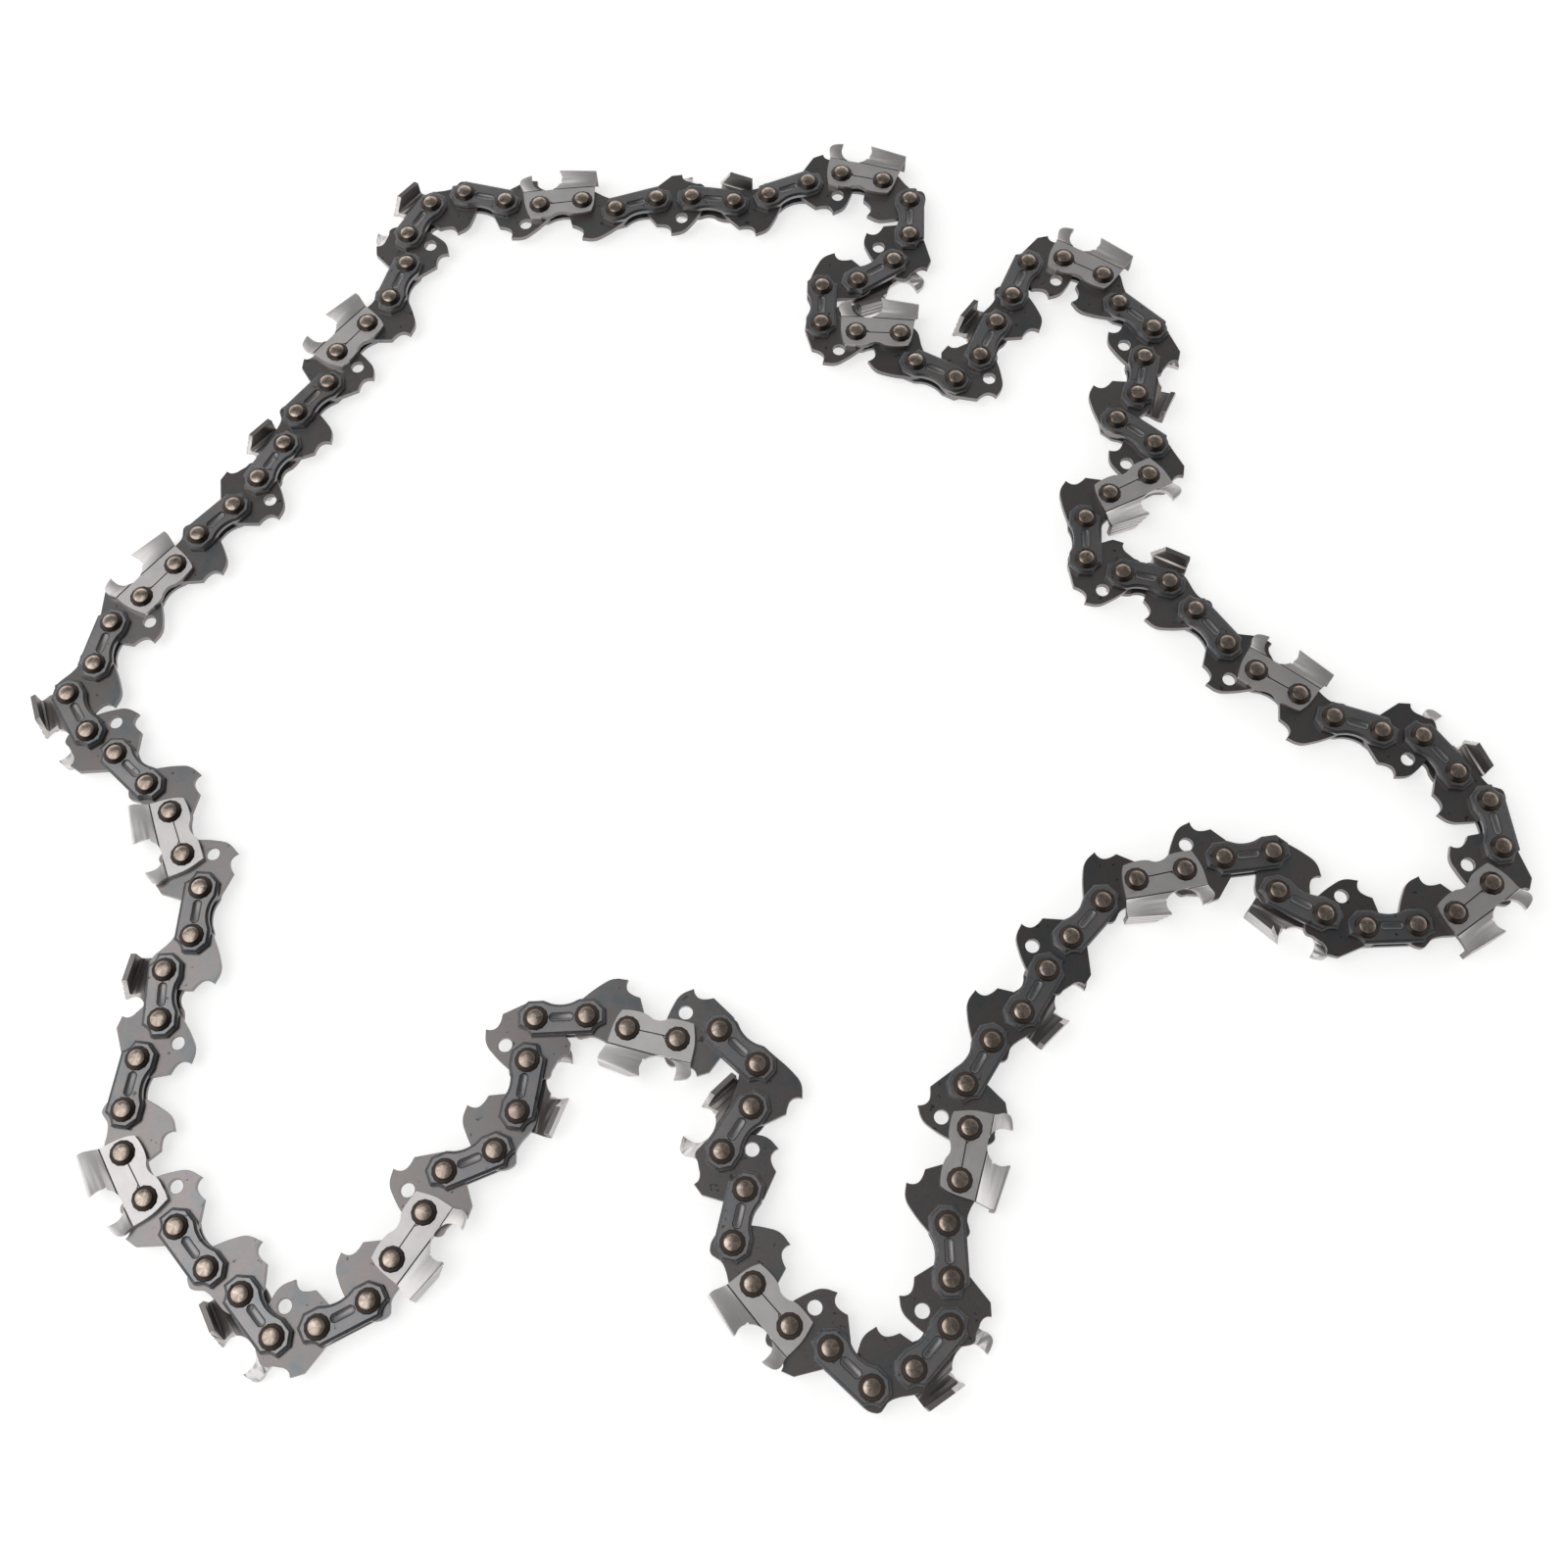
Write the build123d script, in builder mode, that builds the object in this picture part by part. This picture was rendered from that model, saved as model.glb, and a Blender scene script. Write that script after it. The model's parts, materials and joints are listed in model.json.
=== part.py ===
"""Low-profile saw chain of 3/8 inch pitch: 64 drive links riveted into a loop that lies on its side.

The drive links lie in the middle plane, with their tangs towards the inside of the loop. Above and
below them, each pair of rivets clamps two plates: two tie straps, or a cutter and the strap across
from it. A link is drawn in its own frame, with its front rivet at the origin, its rear rivet along +X
and +Y towards the outside of the loop. The loop flexes at one rivet of each rigid run of links.
"""

import os

import numpy as np
from build123d import *

# Rivet spacing, which gives the pitch
OUTER_SPAN = 10.4
DRIVE_SPAN = 8.65

# Thicknesses across the chain
LINK_THICKNESS = 1.27
PLATE_THICKNESS = 1.2
SIDE_GAP = 0.05
HEAD_HEIGHT = 0.85

# Rivets
HEAD_RADIUS = 2.45
HEAD_SIDES = 6
HUB_DIAMETER = 3.9
HUB_CLEARANCE = 0.1

# Tie straps have eight-sided ends and a waist on the tang side
STRAP_END_RADIUS = 3.9
STRAP_END_SIDES = 8
STRAP_WAIST = 0.8

# Drive links: the body round the rivets, and the tang that runs in the bar's groove
BODY_REACH = 3.6
BODY_HALF_HEIGHT = 3.5
BODY_REAR_SLANT = 0.5
TANG_DEPTH = 9.7
TANG_TIP_X = 3.3
TANG_BACK_X = 9.6
TANG_BACK_DEPTH = 5.6
TANG_HEEL_X = 6.6
TANG_HEEL_DEPTH = 9.0
TANG_NOTCH_X = 2.2
TANG_NOTCH_DEPTH = 7.7
TANG_TOE_X = -0.6
TANG_TOE_DEPTH = 7.2

# Guard links add a ramp that leads up to the next cutter's depth gauge, and a hole in the tang
RAMP_HEIGHT = 7.9
RAMP_LENGTH = 2.8
RAMP_FOOT_X = -0.6
RAMP_TOP_X = 3.5
RAMP_NOTCH_HEIGHT = 5.4
RAMP_NOTCH_DEPTH = 1.5
GUARD_HOLE_DIAMETER = 2.9
GUARD_HOLE_SIDES = 6
GUARD_HOLE_X = 6.0
GUARD_HOLE_DEPTH = 5.3

# Cutters: side plate, depth gauge, gullet, and the top plate that folds over the chain
CUTTER_FRONT = 3.7
CUTTER_REAR = 3.6
CUTTER_HALF_HEIGHT = 3.8
CUTTER_CORNER = 1.2
CUTTER_WAIST = 0.9
DEPTH_GAUGE_HEIGHT = 8.5
DEPTH_GAUGE_ROOT = 5.2
DEPTH_GAUGE_LENGTH = 2.9
DEPTH_GAUGE_NOSE = 1.1
GULLET_FLOOR = 4.2
GULLET_RADIUS = 2.4
TOP_FRONT_X = 5.6
TOP_LENGTH = 8.6
TOP_HEIGHT = 8.5
TOP_FALL = 1.4
TOP_WIDTH = 4.8
TOP_THICKNESS = 1.2
TOP_CREASE = 4.9
TOP_FLARE = 0.7

# The lay of the loop: the heading of each link in degrees, as it lies in the photograph, from one
# upper cutter to the next: cutter, plain link, straps, guard link, lower cutter, plain link, straps,
# guard link. The loop is walked clockwise as seen from above.
LAY = [
    [5, -20, 15, 0, -10, 10, 20, 15],
    [-15, -45, -95, -120, -150, -170, -95, -20],
    [-5, -70, -30, 45, 65, 60, 65, 5],
    [-30, -70, -45, -110, -105, -130, -40, -105],
    [-155, -135, -95, -25, -15, -55, -55, -50],
    [-35, -40, -20, -10, -55, -50, -85, -115],
    [-145, -165, -180, -200, -210, -270, -175, -165],
    [-170, -150, -135, -130, -125, -140, -125, -90],
    [-105, -110, -90, -95, -135, -160, -225, -210],
    [-230, -245, -285, -240, -305, -280, -225, -170],
    [-195, -200, -180, -100, -100, -120, -160, -115],
    [-125, -120, -155, -170, -230, -215, -230, -220],
    [-240, -265, -280, -295, -270, -305, -275, -240],
    [-250, -230, -225, -220, -240, -305, -285, -315],
    [-310, -300, -315, -305, -300, -285, -310, -280],
    [-310, -305, -290, -270, -300, -340, -375, -370],
]

# Rows of the lay that start a rigid run. Every other run turns by one angle while those between
# them keep their heading, so the loop stays closed if the links of each kind of run close too.
RUN_STARTS = (0, 3, 6, 8, 11, 12, 14, 15)
CLOSING_STEPS = 8

# Heights of the layers over the surface that the lower rivet heads rest on
LOWER_PLATE_Z = HEAD_HEIGHT
LINK_Z = LOWER_PLATE_Z + PLATE_THICKNESS + SIDE_GAP
UPPER_PLATE_Z = LINK_Z + LINK_THICKNESS + SIDE_GAP
HEAD_Z = UPPER_PLATE_Z + PLATE_THICKNESS
MIDDLE = Plane.XY.offset(LINK_Z + LINK_THICKNESS / 2)


def rivet_heads(*places):
    """Draws rivet heads on the outer face of an upper plate."""
    with BuildSketch(Plane.XY.offset(HEAD_Z)) as heads:
        with Locations(*places):
            RegularPolygon(HEAD_RADIUS, HEAD_SIDES)
    extrude(heads.sketch, amount=HEAD_HEIGHT)


def body_outline(front_top, rear_top):
    """The drive link's outline: its ends, the tang, and what it has on the outside of the loop."""
    return [
        (-BODY_REACH, BODY_HALF_HEIGHT / 2),
        *front_top,
        *rear_top,
        (DRIVE_SPAN + BODY_REACH, BODY_HALF_HEIGHT / 2),
        (DRIVE_SPAN + BODY_REACH - BODY_REAR_SLANT, -BODY_HALF_HEIGHT / 2),
        (TANG_BACK_X, -TANG_BACK_DEPTH),
        (TANG_HEEL_X, -TANG_HEEL_DEPTH),
        (TANG_TIP_X, -TANG_DEPTH),
        (TANG_NOTCH_X, -TANG_NOTCH_DEPTH),
        (TANG_TOE_X, -TANG_TOE_DEPTH),
        (-BODY_REACH, -BODY_HALF_HEIGHT / 2),
    ]


with BuildPart() as plain_link:
    with BuildSketch(Plane.XY.offset(LINK_Z)):
        Polygon(
            *body_outline([(0, BODY_HALF_HEIGHT)], [(DRIVE_SPAN, BODY_HALF_HEIGHT)]),
            align=None,
        )
    extrude(amount=LINK_THICKNESS)

with BuildPart() as guard_link:
    with BuildSketch(Plane.XY.offset(LINK_Z)):
        Polygon(
            *body_outline(
                [(RAMP_FOOT_X, BODY_HALF_HEIGHT)],
                [
                    (RAMP_TOP_X, RAMP_HEIGHT),
                    (RAMP_TOP_X + RAMP_LENGTH, RAMP_HEIGHT),
                    (RAMP_TOP_X + RAMP_LENGTH, RAMP_HEIGHT - RAMP_NOTCH_DEPTH),
                    (DRIVE_SPAN, RAMP_NOTCH_HEIGHT),
                ],
            ),
            align=None,
        )
        with Locations((GUARD_HOLE_X, -GUARD_HOLE_DEPTH)):
            RegularPolygon(GUARD_HOLE_DIAMETER / 2, GUARD_HOLE_SIDES, mode=Mode.SUBTRACT)
    extrude(amount=LINK_THICKNESS)

# A run's last guard link turns on the hub of the next cutter's front rivet
with BuildPart() as hinge_link:
    add(guard_link.part)
    with Locations((DRIVE_SPAN, 0, LINK_Z + LINK_THICKNESS)):
        Hole((HUB_DIAMETER + HUB_CLEARANCE) / 2, LINK_THICKNESS)

with BuildPart() as strap_plate:
    with BuildSketch(Plane.XY.offset(UPPER_PLATE_Z)) as strap_face:
        with Locations((0, 0), (OUTER_SPAN, 0)):
            RegularPolygon(STRAP_END_RADIUS, STRAP_END_SIDES, rotation=180 / STRAP_END_SIDES)
        make_hull()
        flat = strap_face.vertices().sort_by(Axis.Y)[0].Y
        corner = strap_face.vertices().group_by(Axis.Y)[0].sort_by(Axis.X)
        Polygon(
            (corner[0].X, flat),
            (corner[-1].X, flat),
            (OUTER_SPAN / 2, flat + STRAP_WAIST),
            align=None,
            mode=Mode.SUBTRACT,
        )
    extrude(amount=PLATE_THICKNESS)

with BuildPart() as upper_strap:
    add(strap_plate.part)
    rivet_heads((0, 0), (OUTER_SPAN, 0))

with BuildPart() as cutter_plate:
    with BuildSketch(Plane.XY.offset(UPPER_PLATE_Z)):
        Polygon(
            (-CUTTER_FRONT + CUTTER_CORNER, -CUTTER_HALF_HEIGHT),
            (-CUTTER_FRONT, DEPTH_GAUGE_ROOT),
            (-CUTTER_FRONT + DEPTH_GAUGE_NOSE, DEPTH_GAUGE_HEIGHT - DEPTH_GAUGE_NOSE / 2),
            (-CUTTER_FRONT + DEPTH_GAUGE_LENGTH, DEPTH_GAUGE_HEIGHT),
            (-CUTTER_FRONT + DEPTH_GAUGE_LENGTH, DEPTH_GAUGE_ROOT),
            (TOP_FRONT_X - 2 * GULLET_RADIUS, GULLET_FLOOR),
            (TOP_FRONT_X - GULLET_RADIUS / 2, GULLET_FLOOR),
            (TOP_FRONT_X, TOP_CREASE),
            (TOP_FRONT_X + TOP_LENGTH, TOP_CREASE - TOP_FALL),
            (OUTER_SPAN + CUTTER_REAR - CUTTER_CORNER, -CUTTER_HALF_HEIGHT),
            (OUTER_SPAN / 2, -CUTTER_HALF_HEIGHT + CUTTER_WAIST),
            align=None,
        )
    extrude(amount=PLATE_THICKNESS)
    with BuildSketch(Plane.YZ.offset(TOP_FRONT_X)):
        Polygon(
            (TOP_CREASE, UPPER_PLATE_Z),
            (TOP_CREASE, HEAD_Z),
            (TOP_HEIGHT, HEAD_Z + TOP_FLARE),
            (TOP_HEIGHT, HEAD_Z + TOP_FLARE - TOP_WIDTH),
            (TOP_HEIGHT - TOP_THICKNESS, HEAD_Z + TOP_FLARE - TOP_WIDTH),
            (TOP_HEIGHT - TOP_THICKNESS, UPPER_PLATE_Z + TOP_FLARE),
            align=None,
        )
    extrude(amount=TOP_LENGTH, dir=(TOP_LENGTH, -TOP_FALL, 0))

with BuildPart() as upper_cutter:
    add(cutter_plate.part)
    rivet_heads((0, 0), (OUTER_SPAN, 0))

# A run's first cutter carries the hub, and the strap under it the hub's lower head, which the loop
# rests on
with BuildPart() as hinge_cutter:
    add(upper_cutter.part)
    with Locations((0, 0, UPPER_PLATE_Z)):
        Cylinder(
            HUB_DIAMETER / 2,
            LINK_THICKNESS + 2 * SIDE_GAP,
            align=(Align.CENTER, Align.CENTER, Align.MAX),
        )

with BuildPart() as headed_plate:
    add(strap_plate.part)
    rivet_heads((0, 0))

with BuildPart() as hinge_strap:
    mirror(headed_plate.part, about=MIDDLE)

with BuildPart() as lower_strap:
    mirror(strap_plate.part, about=MIDDLE)

with BuildPart() as lower_cutter:
    mirror(cutter_plate.part, about=MIDDLE)


def close_loop(headings, spans, group):
    """Turns the links a little, by the least sum of squares, until both groups of runs close."""
    for _ in range(CLOSING_STEPS):
        x_steps = spans * np.cos(headings)
        y_steps = spans * np.sin(headings)
        change, gap = [], []
        for member in (group == 0, group == 1):
            change += [-y_steps * member, x_steps * member]
            gap += [x_steps @ member, y_steps @ member]
        change = np.array(change)
        headings = headings - change.T @ np.linalg.solve(change @ change.T, gap)
    return headings


# The rivets stand where links of the true spans meet along the closed lay
links_in_row = len(LAY[0])
spans = np.tile([OUTER_SPAN, DRIVE_SPAN], len(LAY) * links_in_row // 2)
run_of_row = np.searchsorted(RUN_STARTS, np.arange(len(LAY)), side="right") - 1
group = np.repeat(run_of_row % 2, links_in_row)
headings = close_loop(np.radians(LAY).ravel(), spans, group)
steps = spans * np.array([np.cos(headings), np.sin(headings)])
rivets = (np.cumsum(steps, axis=1) - steps).T


def place(row, link, centre=(0, 0)):
    """Where a link of a row lies, with the loop centred on a point of its lay."""
    number = row * links_in_row + link
    x, y = rivets[number] - centre
    return Location((x, y, 0), (0, 0, np.degrees(headings[number])))


def row_pieces(row):
    """Each node of a row, as pairs of a piece and its link, numbered in the order of the lay."""
    first_cutter = hinge_cutter if row in RUN_STARTS else upper_cutter
    first_strap = hinge_strap if row in RUN_STARTS else lower_strap
    last_link = hinge_link if (row + 1) % len(LAY) in RUN_STARTS else guard_link
    return {
        "cutters": [(first_cutter, 0), (lower_cutter, 4)],
        "drive_links": [(plain_link, 1), (guard_link, 3), (plain_link, 5), (last_link, 7)],
        "tie_straps": [
            (first_strap, 0),
            (upper_strap, 2),
            (lower_strap, 2),
            (upper_strap, 4),
            (upper_strap, 6),
            (lower_strap, 6),
        ],
    }


# The origin is under the middle of the loop's box
boxes = [
    piece.part.moved(place(row, link)).bounding_box()
    for row in range(len(LAY))
    for pieces in row_pieces(row).values()
    for piece, link in pieces
]
centre = np.array(
    [
        (min(box.min.X for box in boxes) + max(box.max.X for box in boxes)) / 2,
        (min(box.min.Y for box in boxes) + max(box.max.Y for box in boxes)) / 2,
    ]
)

os.makedirs("parts", exist_ok=True)
for row in range(len(LAY)):
    for kind, pieces in row_pieces(row).items():
        with BuildPart() as node:
            for piece, link in pieces:
                with Locations(place(row, link, centre)):
                    add(piece.part)
        node.part.label = f"{kind}_{row + 1:02d}"
        export_step(node.part, f"parts/{node.part.label}.step")

print("rivets", len(rivets), "closing gap", np.abs(steps.sum(axis=1)).max())
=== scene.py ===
# %% [markdown]
# # A saw chain that lies in a loop
# A saw chain is made of flat pressed plates. Drive links run in the middle, and above and below
# them tie straps and cutters are clamped by rivets. This lesson reads the rivets from the packed
# model, makes one mesh of each plate, and lays copies of it along the chain with Geometry Nodes.

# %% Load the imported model
import json
import math

import bmesh
import bpy
import numpy as np
from mathutils import Matrix, Vector


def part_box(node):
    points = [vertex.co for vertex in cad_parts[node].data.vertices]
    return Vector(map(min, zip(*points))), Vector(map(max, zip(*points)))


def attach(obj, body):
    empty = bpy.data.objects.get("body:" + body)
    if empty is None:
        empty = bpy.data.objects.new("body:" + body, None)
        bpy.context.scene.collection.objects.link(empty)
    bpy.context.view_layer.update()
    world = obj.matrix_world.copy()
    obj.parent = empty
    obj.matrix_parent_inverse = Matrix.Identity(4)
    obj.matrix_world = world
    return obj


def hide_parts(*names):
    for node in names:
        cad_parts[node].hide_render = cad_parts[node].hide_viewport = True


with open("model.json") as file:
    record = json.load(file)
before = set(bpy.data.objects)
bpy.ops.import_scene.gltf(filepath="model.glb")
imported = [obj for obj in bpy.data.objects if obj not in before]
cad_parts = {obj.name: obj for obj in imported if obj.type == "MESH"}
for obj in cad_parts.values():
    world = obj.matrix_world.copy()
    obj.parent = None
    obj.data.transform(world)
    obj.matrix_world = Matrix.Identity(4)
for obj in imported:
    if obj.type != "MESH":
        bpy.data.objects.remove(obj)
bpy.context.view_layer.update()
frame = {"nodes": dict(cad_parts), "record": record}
MM = 0.001

# %% [markdown]
# ## Where the layers are
# A chain is a stack of layers: lower rivet heads, lower plates, drive links, upper plates, upper
# heads. The strap node holds all of those heights, so they are read from its vertices and not
# typed in again.

# %% Read the heights of the layers
strap_mesh = frame["nodes"]["tie_straps_01"].data
heights = sorted({round(vertex.co.z / MM, 3) for vertex in strap_mesh.vertices})
_, LOWER_FACE, _, UPPER_INSIDE, UPPER_FACE, HEAD_TOP = heights
LINK_LOW, LINK_HIGH = (corner.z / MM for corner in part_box("drive_links_01"))
MIDDLE = (LINK_LOW + LINK_HIGH) / 2
print("heights in mm", heights)

# %% [markdown]
# ## Where the rivets are
# Each upper plate of the model carries two rivet heads. Its shell is followed from vertex to
# vertex, and the vertices on top of it fall into two groups, whose middles are the rivets.

# %% Find the rivets of each plate
SAME_PLACE = 1e-6
HEAD_TOLERANCE = 0.01


def plate_rivets(node):
    """The two rivet places of each upper plate of a node, in mm."""
    shell = bmesh.new()
    shell.from_mesh(frame["nodes"][node].data)
    bmesh.ops.remove_doubles(shell, verts=shell.verts, dist=SAME_PLACE)
    pairs, seen = [], set()
    for first in shell.verts:
        if first in seen:
            continue
        seen.add(first)
        island, waiting = [], [first]
        while waiting:
            vertex = waiting.pop()
            island.append(vertex)
            for edge in vertex.link_edges:
                other = edge.other_vert(vertex)
                if other not in seen:
                    seen.add(other)
                    waiting.append(other)
        tops = [v.co.xy / MM for v in island if v.co.z / MM > HEAD_TOP - HEAD_TOLERANCE]
        if tops:
            tops = np.array(tops)
            out = tops - tops.mean(axis=0)
            reach = out[np.argmax(np.linalg.norm(out, axis=1))]
            rear = out @ reach > 0
            pairs.append((tops[~rear].mean(axis=0), tops[rear].mean(axis=0)))
    shell.free()
    return pairs


print("upper straps in row 1", len(plate_rivets("tie_straps_01")))

# %% [markdown]
# ## The order of the rivets
# From the cutter of a row, the next rivet is the one that lies a drive link's span away, so the
# whole row can be walked in order. Both ends of the cutter are tried, and the better walk stays.

# %% Walk along the rivets
# The length of an outer link and a drive link together, so of three rivets in a straight chain
PITCH_OF_THREE = 19.05


def walk_row(row):
    """The eight rivets of a row in walking order: the cutter's own two first."""
    cutter = plate_rivets(f"cutters_{row:02d}")[0]
    drive_span = PITCH_OF_THREE - np.linalg.norm(cutter[1] - cutter[0])
    routes = []
    for start in (cutter, cutter[::-1]):
        route, left, miss = list(start), plate_rivets(f"tie_straps_{row:02d}"), 0
        while left:
            error, plate, end = min(
                (abs(np.linalg.norm(pair[end] - route[-1]) - drive_span), plate, end)
                for plate, pair in enumerate(left)
                for end in (0, 1)
            )
            pair = left.pop(plate)
            route += [pair[end], pair[1 - end]]
            miss += error
        routes.append((miss, route))
    return min(routes, key=lambda found: found[0])[1]


ROWS = sum(name.startswith("cutters_") for name in frame["nodes"])
rivets = np.array([walk_row(row) for row in range(1, ROWS + 1)])
LINKS_IN_ROW = rivets.shape[1]
spans = np.roll(rivets.reshape(-1, 2), -1, axis=0) - rivets.reshape(-1, 2)
headings = np.arctan2(spans[:, 1], spans[:, 0]).reshape(ROWS, LINKS_IN_ROW)
OUTER_SPAN = float(np.linalg.norm(spans[0]))
DRIVE_SPAN = float(np.linalg.norm(spans[1]))
print("rivets", rivets.size // 2, "spans", round(OUTER_SPAN, 3), round(DRIVE_SPAN, 3))

# %% [markdown]
# ## How a plate is drawn
# A pressed plate is an outline with a thickness, and its sheared edges are never quite sharp. A
# filled curve gives both at once: Bezier points with vector handles are corners, points with
# automatic handles are round, and the curve's own bevel softens the edge.

# %% Helpers that turn outlines into plates
ARC_STEPS = 5
EDGE_STEPS = 0
SEAM_GAP = 1e-4


def corners(*points):
    """Points where an outline turns sharply."""
    return [(x, y, "VECTOR") for x, y in points]


def rounds(*points):
    """Points that an outline passes in a smooth bend."""
    return [(x, y, "AUTO") for x, y in points]


def put(name, data):
    """A new object in the scene."""
    thing = bpy.data.objects.new(name, data)
    bpy.context.scene.collection.objects.link(thing)
    return thing


def outline_plate(name, low, high, softness, *loops):
    """A plate between two heights, from outlines made of corners and rounds, in mm."""
    curve = bpy.data.curves.new(name, "CURVE")
    curve.dimensions = "2D"
    curve.fill_mode = "BOTH"
    curve.resolution_u = ARC_STEPS
    curve.extrude = (high - low) / 2 - softness
    curve.bevel_depth = softness
    curve.bevel_resolution = EDGE_STEPS
    curve.offset = -softness
    for loop in loops:
        spline = curve.splines.new("BEZIER")
        spline.bezier_points.add(len(loop) - 1)
        spline.use_cyclic_u = True
        for point, (x, y, kind) in zip(spline.bezier_points, loop):
            point.co = (x, y, 0)
            point.handle_left_type = point.handle_right_type = kind
    mesh = bake(put(name, curve))
    mesh.transform(Matrix.Translation((0, 0, (low + high) / 2)))
    tidy(mesh)
    return mesh


def bake(source):
    """The evaluated mesh of an object, which is then removed."""
    bpy.context.view_layer.update()
    ready = source.evaluated_get(bpy.context.evaluated_depsgraph_get())
    mesh = bpy.data.meshes.new_from_object(ready)
    mesh.name = source.name
    bpy.data.objects.remove(source)
    return mesh


def tidy(mesh):
    """Closes seams and turns all faces outwards."""
    work = bmesh.new()
    work.from_mesh(mesh)
    bmesh.ops.remove_doubles(work, verts=work.verts, dist=SEAM_GAP)
    bmesh.ops.recalc_face_normals(work, faces=work.faces)
    work.to_mesh(mesh)
    work.free()


print("steps between two points of an outline", ARC_STEPS)

# %% [markdown]
# ## Cutting plates
# A press cuts, folds and stamps, and a Boolean does the same to a mesh. The plates under the drive
# links are mirror images of those above them.

# %% Helpers that cut and mirror plates


def combine(mesh, other, operation):
    """One mesh cut by, or cut down to, another."""
    body, tool = put(mesh.name, mesh), put("tool", other)
    boolean = body.modifiers.new("cut", "BOOLEAN")
    boolean.operation = operation
    boolean.solver = "EXACT"
    boolean.object = tool
    result = bake(body)
    bpy.data.objects.remove(tool)
    return result


def loft(name, *rings):
    """A closed mesh between rings of points, with its first and last ring filled."""
    work = bmesh.new()
    rings = [[work.verts.new(point) for point in points] for points in rings]
    for near, far in zip(rings, rings[1:]):
        for i in range(len(near)):
            j = (i + 1) % len(near)
            work.faces.new((near[i], near[j], far[j], far[i]))
    for cap in (rings[0], rings[-1]):
        work.faces.new(cap)
    mesh = bpy.data.meshes.new(name)
    work.to_mesh(mesh)
    work.free()
    tidy(mesh)
    return mesh


def mirrored(mesh, name):
    """The same plate on the other side of the chain."""
    twin = mesh.copy()
    twin.name = name
    twin.transform(Matrix.Translation((0, 0, 2 * MIDDLE)) @ Matrix.Scale(-1, 4, (0, 0, 1)))
    twin.flip_normals()
    return twin


print("plates are mirrored at", round(MIDDLE, 3), "mm")

# %% [markdown]
# ## Keeping plates
# Each finished plate is kept as a shape to copy, and isn't in the scene itself. It carries notes
# for its finish: every point's place on its own link, and for each face its edge tint and its share
# of painted shade.

# %% Helpers that finish and keep plates
SMOOTH_ANGLE = math.radians(32)
LEVEL = 0.999
LEAST_LEAN, MOST_LEAN = 0.2, 0.97
SORT_LINE = Vector((1, math.sqrt(2), math.pi))


def finish_shape(mesh, collection, **notes):
    """Stores the notes, scales the plate to metres and keeps it as a shape to copy."""
    put_in_order(mesh)
    place = mesh.attributes.new("own_place", "FLOAT_VECTOR", "POINT")
    place.data.foreach_set("vector", [value for vertex in mesh.vertices for value in vertex.co])
    for name, amount in notes.items():
        note = mesh.attributes.new(name, "FLOAT", "FACE")
        note.data.foreach_set("value", [float(amount(face)) for face in mesh.polygons])
    mesh.transform(Matrix.Scale(MM, 4))
    mesh.shade_smooth()
    mesh.set_sharp_from_angle(angle=SMOOTH_ANGLE)
    keep_flat(mesh)
    collection.objects.link(bpy.data.objects.new(mesh.name, mesh))
    print(mesh.name, "faces", len(mesh.polygons))


def put_in_order(mesh):
    """Sorts points and faces along a line, because a Boolean's order differs from run to run."""
    work = bmesh.new()
    work.from_mesh(mesh)
    work.verts.sort(key=lambda vertex: vertex.co.dot(SORT_LINE))
    work.faces.sort(key=lambda face: face.calc_center_median().dot(SORT_LINE))
    work.to_mesh(mesh)
    work.free()


def keep_flat(mesh):
    """Stops the shading of level faces where a rounded edge begins, so that they look flat."""
    work = bmesh.new()
    work.from_mesh(mesh)
    for edge in work.edges:
        level = [abs(face.normal.z) > LEVEL for face in edge.link_faces]
        if any(level) and not all(level):
            edge.smooth = False
    work.to_mesh(mesh)
    work.free()


def leaning(face):
    """True for the softened edge of a plate, whose faces lean."""
    return LEAST_LEAN < abs(face.normal.z) < MOST_LEAN


print("shading is smooth up to", round(math.degrees(SMOOTH_ANGLE)), "degrees")

# %% [markdown]
# ## Drive links
# A drive link has a tang that runs in the guide bar's groove, with a hooked tip that scoops oil.
# Every other one also has a ramp on its outer side, which guards the next cutter's depth gauge, and
# a hole in the tang. The others swell a little beside both rivets. Both kinds share the tang and
# the ends, so one outline takes either outer side.

# %% Draw the drive links
EDGE_SOFTNESS = 0.09
BODY_REACH = 3.6
FRONT_SHOULDER = (-2.664, 2.59)
FRONT_CORNER = (-3.348, -2.2)
# How far the heel lies in front of the rear end, and its height
HEEL = (0.8, -2.6)
TANG_BACK = ((8.2, -7.3), (6.3, -9.1))
TANG_TIP = (3.4, -9.8)
TANG_HOOK = ((3.35, -8.7), (2.8, -7.7), (1.6, -7.15))
TANG_TOE = (-0.2, -7.0)
PLAIN_FRONT = ((-0.6, 4.0), (1.0, 4.3), (2.6, 4.0))
PLAIN_DIP = ((4.6, 3.55), (6.7, 3.55))
PLAIN_REAR = ((7.8, 4.15), (8.9, 4.65), (10.1, 4.2), (11.3, 2.9))
RAMP_FOOT = (-1.0, 3.5)
RAMP_TOP = ((3.8, 7.7), (6.4, 7.9))
RAMP_NOTCH = ((6.5, 6.9), (7.3, 6.0), (8.5, 5.5))
RAMP_END = (9.8, 5.0)
RAMP_HUMP = ((11.2, 4.75), (12.0, 2.9))
HOLE = ((7.45, -5.3), (6.0, -3.85), (4.55, -5.3), (6.0, -6.75))


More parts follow.
